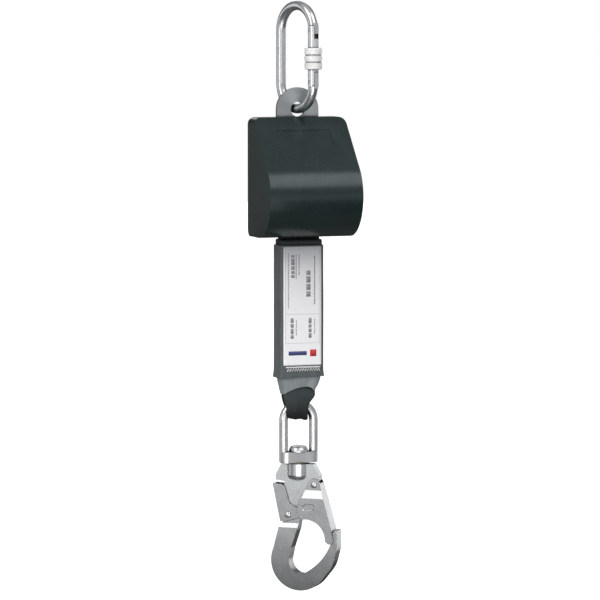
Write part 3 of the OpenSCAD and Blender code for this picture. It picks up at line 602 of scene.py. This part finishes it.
class SleeveShape:
    """Outside of the absorber's fabric sleeve: a boxy tube, and the collar gathered below it."""

    def __init__(self):
        low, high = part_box("absorber_sleeve")
        pack_low, pack_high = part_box("absorber_pack")
        slack = 0.9 * MM
        self.y = (pack_low.y + pack_high.y) / 2
        self.half_w = (pack_high.x - pack_low.x) / 2 + slack
        self.half_t = (pack_high.y - pack_low.y) / 2 + slack
        self.front = self.y - self.half_t
        self.top = high.z
        self.bend = pack_low.z - 2.8 * MM
        self.hem = low.z

    def crown(self, x):
        """How far the front stands out in the middle of the width."""
        share = min(1.0, abs(x) / self.half_w)
        return 0.7 * MM * (1 - share * share)

    def tube_point(self, u, v, t):
        """Point of the tube at (u, v) of its outline, t of the way down.

        It flares at its lower end, hangs lower on the left, and is creased along its narrow sides.
        """
        z = self.top + (self.bend - self.top) * t
        flare = math.exp(-((z - self.bend) / (4.5 * MM)) ** 2)
        x = u * (self.half_w + 0.8 * MM * flare)
        y = v * (self.half_t + 0.5 * MM * flare)
        uneven = 0.5 * MM * noise.noise(Vector((x * 90, y * 90, 0)))
        z -= t ** 20 * (1.3 * MM * smooth_step(-x, 0, self.half_w) + uneven)
        wander = 0.22 * MM * noise.noise(Vector((x * 120, y * 120, z * 30)))
        crease = math.cos(v * 2.2 * math.pi) * smooth_step(abs(u), 0.93, 1.0)
        x += math.copysign(0.4 * MM * crease + wander, u)
        y += math.copysign(self.crown(x) + wander * (1 - smooth_step(abs(u), 0.8, 0.95)), v)
        return Vector((x, self.y + y, z))

    def hem_z(self, x, behind):
        """Lower edge of the collar: arched in front, lower at both sides and behind."""
        crest = 6 * MM
        side = (x - crest) / ((22 if x < crest else 10) * MM)
        return self.hem + 6.4 * MM - (6.2 * MM * side * side) * (1 - 0.6 * behind) - 5 * MM * behind

    def collar_point(self, u, v, t):
        """Point of the collar at (u, v) of its outline, t of the way down from inside the tube.

        It narrows and moves to the left on its way down, with upright folds and a few across.
        """
        narrow = smooth_step(t, 0.12, 1.15) * 0.55 + 0.45 * t
        x = u * (self.half_w - 0.8 * MM - 6.2 * MM * narrow) - 1.4 * MM * narrow
        y = v * (self.half_t - 1.1 * MM - 2.8 * MM * narrow)
        start = self.bend + 7 * MM
        z = start + (self.hem_z(x, smooth_step(v, -0.6, 0.6)) - start) * t
        pull = smooth_step(t, 0.25, 0.8)
        fold = math.cos(u * 7.0 + 1.1 + 1.6 * noise.noise(Vector((u * 1.7, t * 1.4, v))))
        y += math.copysign(0.42 * MM * fold * pull * (1 - abs(u) ** 4), v)
        across = math.sin(t * 11 + u * 2.0 + 2.5 * noise.noise(Vector((u * 2, v * 2, 4.2))))
        x += math.copysign(0.35 * MM * across * pull, u)
        y += math.copysign(0.5 * MM * math.sin(math.pi * t) * (1 - u * u), v)
        return Vector((x, self.y + y, z))


def build_sleeve(materials, shape):
    """Tube and collar, each a sheet of coated fabric; the collar shows the cloth's paler inside."""
    tube_outline = rounded_rect(shape.half_w, shape.half_t, 2.6 * MM, 26, 8)
    collar_outline = rounded_rect(shape.half_w, shape.half_t, 4.5 * MM, 30, 8)
    for name, point, outline, rows, material in (
        ("sleeve_tube", shape.tube_point, tube_outline, 90, materials["grey_sleeve"]),
        ("sleeve_collar", shape.collar_point, collar_outline, 56, materials["pale_sleeve"]),
    ):
        rings = [
            [point(x / shape.half_w, y / shape.half_t, k / rows) for x, y in outline]
            for k in range(rows + 1)
        ]
        sheet = make_piece(name, loft(rings, close_ends=False), material, "line")
        shell = sheet.modifiers.new("fabric thickness", "SOLIDIFY")
        shell.thickness = 0.8 * MM
        shell.offset = -1
        shell.use_rim = True
        edge = sheet.modifiers.new("soft edge", "BEVEL")
        edge.width = 0.3 * MM
        edge.segments = 2
        edge.angle_limit = math.radians(60)
        if name == "sleeve_tube":
            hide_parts("absorber_sleeve")


def front_strip(shape, x0, x1, z0, z1, proud, thick, columns, rows, corner=0.0):
    """Points and faces of a thin patch that follows the sleeve's crowned front.

    Its face stands proud of the sleeve, and its corners are rounded by a radius of corner.
    """
    points, faces = [], []
    for depth in (proud, proud - thick):
        for j in range(rows + 1):
            z = z0 + (z1 - z0) * j / rows
            near = min(abs(z - z0), abs(z1 - z))
            trim = corner - math.sqrt(max(0.0, corner ** 2 - max(0.0, corner - near) ** 2))
            for i in range(columns + 1):
                x = x0 + trim + (x1 - x0 - 2 * trim) * i / columns
                points.append(Vector((x, shape.front - shape.crown(x) - depth, z)))
    n, layer = columns + 1, (columns + 1) * (rows + 1)
    for j in range(rows):
        for i in range(columns):
            a = j * n + i
            faces.append((a, a + 1, a + n + 1, a + n))
            faces.append((layer + a, layer + a + n, layer + a + n + 1, layer + a + 1))
    rim = list(range(n)) + [j * n + columns for j in range(1, rows + 1)]
    rim += [rows * n + i for i in range(columns - 1, -1, -1)] + [j * n for j in range(rows - 1, 0, -1)]
    for a, b in zip(rim, rim[1:] + rim[:1]):
        faces.append((b, a, layer + a, layer + b))
    return points, faces


def build_label(materials, shape):
    """White film on the sleeve's front, with ruled fields and plain blocks in place of text."""
    low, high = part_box("id_label")
    low.z += 1.7 * MM
    proud = 0.55 * MM
    film = front_strip(shape, low.x, high.x, low.z, high.z, proud, 0.35 * MM, columns=24, rows=90)
    label = make_piece("label_film", film, materials["label_white"], "line")
    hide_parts("id_label")

    def bar(x0, x1, z0, z1):
        """A block of ink on the film."""
        columns = max(1, round((x1 - x0) / (2 * MM)))
        return front_strip(shape, x0, x1, z0, z1, proud + 0.05 * MM, 0.08 * MM, columns, rows=1)

    def printed(name, skin, ink_name, colour):
        make_piece(name, skin, ink(ink_name, colour), "line")

    margin, rule_w = 2.2 * MM, 0.28 * MM
    left, right = low.x + margin, high.x - margin
    top, field_1, field_2 = (high.z - down * MM for down in (3, 70, 100))
    rules = [bar(left, right, z, z + rule_w) for z in (top, field_1, field_2)]
    rules += [bar(x, x + rule_w, field_2, top) for x in (left, right - rule_w)]
    printed("label_rules", join_parts(rules), "rule_ink", (0.30, 0.31, 0.33))

    # Rows of blocks run down the label: (place across, width, start, end) in millimetres from its top left
    rows = [
        (5.0, 0.8, 7, 64), (8.2, 3.6, 9, 33), (13.0, 1.0, 8, 34), (16.2, 1.0, 8, 30),
        (24.5, 4.6, 25, 52), (33.0, 1.2, 10, 60), (7.6, 3.2, 74, 95), (13.2, 0.9, 76, 92),
        (27.0, 3.2, 74, 95), (33.2, 0.9, 75, 91),
    ]
    draw = random.Random(7)
    blocks = []
    for across, width, at, end in rows:
        x0 = low.x + across * MM
        size = max(0.8, width / 2.4)
        while at < end:
            length = min(draw.uniform(1.6, 4.8) * size, end - at)
            blocks.append(bar(x0, x0 + width * MM, high.z - (at + length) * MM, high.z - at * MM))
            at += length + 0.7 * size
    printed("label_lines", join_parts(blocks), "line_ink", (0.22, 0.23, 0.25))

    # Plain maker's field at the foot: a blank bar and a blank square
    foot = low.z + 10.5 * MM
    name_bar = bar(low.x + 5.5 * MM, low.x + 25 * MM, foot, foot + 4.2 * MM)
    printed("label_name_bar", name_bar, "blue_ink", (0.035, 0.04, 0.14))
    square = bar(low.x + 28.5 * MM, low.x + 35.5 * MM, foot - 1.4 * MM, foot + 5.6 * MM)
    printed("label_square", square, "red_ink", (0.45, 0.02, 0.03))


def thread(name, path, radius, material):
    """Sewing thread along a list of points."""
    curve = bpy.data.curves.new(name, "CURVE")
    curve.dimensions = "3D"
    curve.bevel_depth = radius
    curve.bevel_resolution = 2
    curve.use_fill_caps = True
    spline = curve.splines.new("POLY")
    spline.points.add(len(path) - 1)
    for point, place in zip(spline.points, path):
        point.co = (*place, 1)
    curve.materials.append(material)
    obj = add_object(name, curve)
    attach(obj, "line")


def build_hem(materials, shape):
    """Pale tape and zigzag stitching below the label."""
    label_low, label_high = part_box("id_label")
    x0, x1 = label_low.x + 2.5 * MM, label_high.x - 0.8 * MM
    top = label_low.z + 0.6 * MM
    tape = front_strip(shape, x0, x1, top - 1.6 * MM, top, 0.75 * MM, 0.4 * MM, 24, 3, corner=0.3 * MM)
    make_piece("hem_tape", tape, materials["tape"], "line")
    stitches = 26
    high_stitch, low_stitch = 2.1, 5.0  # below the tape's top, in millimetres
    zigzag = []
    for k in range(stitches + 1):
        x = x0 + 1.6 * MM + (x1 - x0 - 2.6 * MM) * k / stitches
        z = top - (high_stitch if k % 2 else low_stitch) * MM
        zigzag.append(Vector((x, shape.front - shape.crown(x) - 0.35 * MM, z)))
    thread("hem_stitches", zigzag, 0.5 * MM, materials["thread"])


# Edges of the gathered webbing, in millimetres, by share of the way round the swivel eye's bow:
# 0 is the front's top, 0.5 the bottom and 1 the back's top
LOOP_LEFT = [(0, -19.0), (0.26, -18.2), (0.42, -16.0), (0.47, -13.6), (0.5, -11.5), (0.56, -12.5),
             (0.75, -16.5), (1, -18.5)]
LOOP_RIGHT = [(0, 17.0), (0.24, 16.0), (0.37, 8.3), (0.42, 7.4), (0.48, 9.0), (0.58, 11.5),
              (0.7, 13.5), (1, 17)]


def build_connector_loop(material):
    """Webbing gathered into a loop round the bow of the swivel eye."""
    eye_low, eye_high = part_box("swivel_eye")
    y0 = (eye_low.y + eye_high.y) / 2
    bar_r = 4.6 * MM
    bar_z = eye_high.z - bar_r
    turn_z = bar_z - 2.5 * MM
    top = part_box("connector_loop")[1].z - 1 * MM
    legs, turn, squash = 40, 24, 1.3  # steps down each leg and round the bar; depth of the turn

    def spine(reach):
        """Centres, outward directions and shares of the way round, from the front's top to the back's."""
        for k in range(legs + 1):
            t = k / legs
            y = y0 - reach * (0.42 + 0.58 * smooth_step(t, 0.2, 1.0))
            yield Vector((0, y, top + (turn_z - top) * t)), Vector((0, -1, 0)), 0.40 * t
        for k in range(1, turn):
            a = math.pi * k / turn
            out = Vector((0, -math.cos(a), -math.sin(a) * squash))
            yield Vector((0, y0, turn_z)) + out * reach, out.normalized(), 0.40 + 0.2 * k / turn
        for k in range(legs + 1):
            t = k / legs
            y = y0 + reach * (1.0 - 0.58 * smooth_step(t, 0.0, 0.8))
            yield Vector((0, y, turn_z + (top - turn_z) * t)), Vector((0, 1, 0)), 0.60 + 0.40 * t

    def sheet(name, gap, thick, tuck, seed):
        """One thickness of gathered webbing, bent round the bar at a distance gap from it."""
        outline = rounded_rect(1, 1, 0.12, 30, 3)
        rings = []
        for centre, out, share in spine(bar_r + gap + thick / 2):
            x0 = between(LOOP_LEFT, share) * MM + tuck
            x1 = between(LOOP_RIGHT, share) * MM - tuck
            middle, half_w = (x0 + x1) / 2, (x1 - x0) / 2
            below = math.sin(math.pi * share)  # 1 under the bar, 0 at both tops
            gathered = 1 - smooth_step((x1 - x0) / (36 * MM), 0.55, 1.0)
            ring = []
            for u, v in outline:
                wander = 2.5 * noise.noise(Vector((u * 1.3, share * 5, seed)))
                ridge = math.cos(u * 5.5 + seed + wander) * (0.75 * MM * gathered + 0.12 * MM)
                ridge *= 1 - 0.75 * below ** 6
                edge = 1 - abs(u) ** 6
                lift = 1.1 * MM * (1 - u * u) + ridge * edge
                sag = 2.4 * MM * smooth_step(u, 0.2, 1.0) * below ** 8
                ring.append(centre + Vector((middle + half_w * u, 0, -sag))
                            + out * (v * thick / 2 * (0.35 + 0.65 * edge) + lift))
            rings.append(ring)
        return make_piece(name, loft(rings), material, None)

    outer = sheet("connector_strap_outer", 2.6 * MM, 2.4 * MM, 0.0, 0.6)
    inner = sheet("connector_strap_inner", 0.4 * MM, 1.8 * MM, 0.9 * MM, 2.4)
    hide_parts("connector_loop")
    for strap in (outer, inner):
        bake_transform(strap)


# ---------- hard pieces with finer shapes than their CAD nodes ----------

def copy_node(node, name):
    """A mesh copy of a CAD node for a new piece, joined up and without flat-face triangles."""
    mesh = NODES[node].data.copy()
    mesh.name = name
    bm = bmesh.new()
    bm.from_mesh(mesh)
    bmesh.ops.remove_doubles(bm, verts=bm.verts, dist=0.002 * MM)
    bmesh.ops.dissolve_limit(bm, angle_limit=math.radians(0.3), verts=bm.verts, edges=bm.edges)
    return mesh, bm


def finish_copy(node, mesh, bm, material, sharp):
    """The new piece from a changed copy, in its node's place; edges over sharp degrees stay sharp."""
    bm.to_mesh(mesh)
    bm.free()
    if "custom_normal" in mesh.attributes:
        mesh.attributes.remove(mesh.attributes["custom_normal"])
    mesh.shade_smooth()
    mesh.set_sharp_from_angle(angle=math.radians(sharp))
    obj = add_object(mesh.name, mesh)
    mesh.materials.clear()
    mesh.materials.append(material)
    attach(obj, NODES[node]["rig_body"])
    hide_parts(node)
    return obj


def outer_edges(bm, wide_angle=30):
    """Convex sharp edges from which a ray straight out meets nothing."""
    tree = BVHTree.FromBMesh(bm)
    found = []
    for edge in bm.edges:
        if len(edge.link_faces) != 2 or not edge.is_convex:
            continue
        if math.degrees(edge.calc_face_angle(0)) < wide_angle:
            continue
        middle = (edge.verts[0].co + edge.verts[1].co) / 2
        out = (edge.link_faces[0].normal + edge.link_faces[1].normal).normalized()
        if tree.ray_cast(middle + out * 0.05 * MM, out)[0] is None:
            found.append(edge)
    return found


def build_housing_shell(material):
    """Front housing with moulded radii along its outer edges, but not where it meets the rear cover."""
    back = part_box("front_housing")[1].y
    mesh, bm = copy_node("front_housing", "housing_shell")
    outline = [e for e in outer_edges(bm) if all(v.co.y < back - 0.5 * MM for v in e.verts)]
    bmesh.ops.bevel(bm, geom=outline, offset=2.6 * MM, segments=5, profile=0.5, affect="EDGES",
                    clamp_overlap=True, material=-1)
    finish_copy("front_housing", mesh, bm, material, sharp=32)


def build_screw_sleeve(material):
    """Knurled screw sleeve of the carabiner, with two grooves."""
    low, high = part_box("carabiner_sleeve")
    radius, half_h = (high.x - low.x) / 2, (high.z - low.z) / 2
    bore, chamfer = 5.65 * MM, 0.9 * MM
    groove_z, groove_w, groove_d = 3.6 * MM, 1.2 * MM, 1.1 * MM
    knurl_pitch, knurl_d = 1.25 * MM, 0.22 * MM
    steps = 120
    profile = [(bore, -half_h)]
    for k in range(steps + 1):
        z = -half_h + 2 * half_h * k / steps
        end = max(0.0, abs(z) - (half_h - chamfer))
        groove = smooth_step(-abs(abs(z) - groove_z), -groove_w * 0.65, -groove_w * 0.35) * groove_d
        profile.append((radius - max(groove, end), z))
    profile.append((bore, half_h))

    def knurl(angle, r, z):
        """Diamonds cut into the full radius, and nothing in the grooves, chamfers and bore."""
        if r < radius - 0.3 * MM:
            return 0.0
        a = angle * radius
        diamonds = sum(abs(math.sin(math.pi * slant / knurl_pitch)) for slant in (a + z, a - z))
        return -knurl_d * (1 - diamonds / 2)

    skin = lathe(profile, (low + high) / 2, 288, knurl)
    sleeve = make_piece("screw_sleeve", skin, material, "carabiner_sleeve")
    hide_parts("carabiner_sleeve")


def build_hook_gate(material):
    """Gate of the hook, with the walls of its pressed dimples sloped."""
    mesh, bm = copy_node("hook_gate", "gate_sheet")
    floors = [face for face in bm.faces if not any(edge.is_convex for edge in face.edges)]
    for face in floors:
        middle = face.calc_center_median()
        for vert in face.verts:
            vert.co = middle + (vert.co - middle) * 0.85 - face.normal * 0.3 * MM
    gate = finish_copy("hook_gate", mesh, bm, material, sharp=5)
    round_edges(gate, 0.35 * MM)


# ---------- stage ----------

VIEW_CENTRE = Vector((0.0018, -0.004, -0.298))

# Studio tones that the object reflects, by height from straight down (0) to straight up (1)
WORLD_TONES = [
    (0.0, (0.28, 0.285, 0.29)),
    *((place, (grey, grey, grey * 1.02)) for place, grey in (
        (0.08, 0.30), (0.20, 0.16), (0.36, 0.14), (0.42, 0.35), (0.46, 0.85), (0.52, 0.80),
        (0.58, 0.45), (0.80, 0.36))),
    (1.0, (0.72, 0.75, 0.76)),
]

# Softboxes: name, place from the view's centre, width and height in metres, watts
SOFTBOXES = [
    ("key", (0.80, -1.72, 1.98), 2.0, 1.7, 25),
    ("low fill", (-0.66, -1.98, -0.66), 1.8, 1.2, 15.5),
    ("upper left", (-1.62, -0.74, 1.55), 1.3, 1.3, 17),
    ("left", (-2.2, -1.35, 0.44), 0.9, 1.6, 9),
    ("left edge", (-2.2, 1.2, 0.2), 0.35, 2.2, 3.5),
    ("right edge", (2.0, 1.2, 0.1), 0.4, 2.2, 4),
    ("back", (0.6, 2.2, 1.4), 1.6, 1.0, 10),
]


def aim(obj, along):
    """Turns a light or camera to look along a direction."""
    obj.rotation_euler = along.to_track_quat("-Z", "Y").to_euler()


def build_world():
    """White to the camera; soft studio tones, darker behind, to the object."""
    world = bpy.data.worlds.new("studio")
    bpy.context.scene.world = world
    world.use_nodes = True
    n = Nodes(world.node_tree)
    direction = n.coords["Generated"]
    height = n.map_range(n.split(direction)["Z"], -1, 1, 0, 1)
    forward = n.map_range(n.split(direction)["Y"], -0.9, 0.3, 1.0, 0.6)
    # A dark card behind the object, for the dark outlines of bright bars
    card = n.map_range(n.vector_math("DOT_PRODUCT", direction, (0, 1, 0)), 0.74, 0.94, 1.0, 0.3)
    lit = n.feed_all(n.add("ShaderNodeBackground"), n.ramp(height, WORLD_TONES), n.times(forward, card))
    seen = n.feed_all(n.add("ShaderNodeBackground"), (1, 1, 1), 1.0)
    pick = n.feed_all(n.add("ShaderNodeMixShader"), n.add("ShaderNodeLightPath").outputs["Is Camera Ray"],
                      lit.outputs["Background"], seen.outputs["Background"])
    n.feed(n.add("ShaderNodeOutputWorld").inputs["Surface"], pick.outputs["Shader"])


def build_floor():
    """Pale floor, well below the line when it is all paid out. It lights nothing on the object."""
    bm = bmesh.new()
    bmesh.ops.create_circle(bm, cap_ends=True, radius=40, segments=96)
    mesh = bpy.data.meshes.new("floor")
    bm.to_mesh(mesh)
    bm.free()
    floor = add_object("floor", mesh)
    floor.location.z = CAD_BOX[0].z - JOINTS["line_pay_out"]["range_m"][1] - 0.1
    floor.visible_glossy = False
    floor.visible_diffuse = False
    paint = Shader("floor_paint")
    paint.set("Roughness", 0.9)
    patches = paint.spread(paint.noise(0.6, detail=2), 0, 1)
    paint.set("Base Color", paint.mix(patches, (0.88, 0.88, 0.88), (0.9, 0.9, 0.9)))
    paint.set("Emission Color", (1, 1, 1))
    paint.set("Emission Strength", 1.0)
    mesh.materials.append(paint.material)


def build_lights():
    """Plain soft studio light."""
    for name, offset, width, height, watts in SOFTBOXES:
        light = bpy.data.lights.new(name, "AREA")
        light.shape = "RECTANGLE"
        light.size, light.size_y = width, height
        light.energy = watts
        obj = add_object(name, light)
        obj.location = VIEW_CENTRE + Vector(offset)
        aim(obj, -Vector(offset))


def build_camera():
    """Camera at the photo's angle and distance."""
    azimuth, elevation, distance = math.radians(-18.5), math.radians(5), 3.7
    seen_width, sensor = 0.6186, 36
    back = Vector((math.sin(azimuth) * math.cos(elevation), -math.cos(azimuth) * math.cos(elevation),
                   math.sin(elevation)))
    data = bpy.data.cameras.new("camera")
    camera = add_object("camera", data)
    camera.location = VIEW_CENTRE + back * distance
    aim(camera, -back)
    data.sensor_width = sensor
    data.lens = sensor * distance / seen_width
    data.clip_end = 200
    bpy.context.scene.camera = camera


# ---------- the whole object ----------

# Radii of softened edges on CAD nodes, in millimetres
EDGE_RADII = {
    "rear_cover": 0.5, "frame_bracket": 0.5, "swivel_eye": 0.9, "hook_body": 2.2, "lock_lever": 0.35,
    "webbing_guide": 0.5, "carabiner_gate": 0.3, "carabiner_gate_pin": 0.6, "carabiner_latch_pin": 0.6,
}

materials = make_materials()
dress_cad_nodes(materials)
for node, radius in EDGE_RADII.items():
    soften(node, radius * MM)

build_housing_shell(materials["housing_plastic"])
build_screw_sleeve(materials["zinc_sleeve"])
build_hook_gate(materials["sheet_steel"])
build_lifeline(materials["black_webbing"])
build_tear_webbing(materials["black_webbing"])
sleeve_shape = SleeveShape()
build_sleeve(materials, sleeve_shape)
build_label(materials, sleeve_shape)
build_hem(materials, sleeve_shape)
build_connector_loop(materials["black_webbing"])

build_world()
build_floor()
build_lights()
build_camera()
bpy.context.scene.view_settings.view_transform = "Standard"
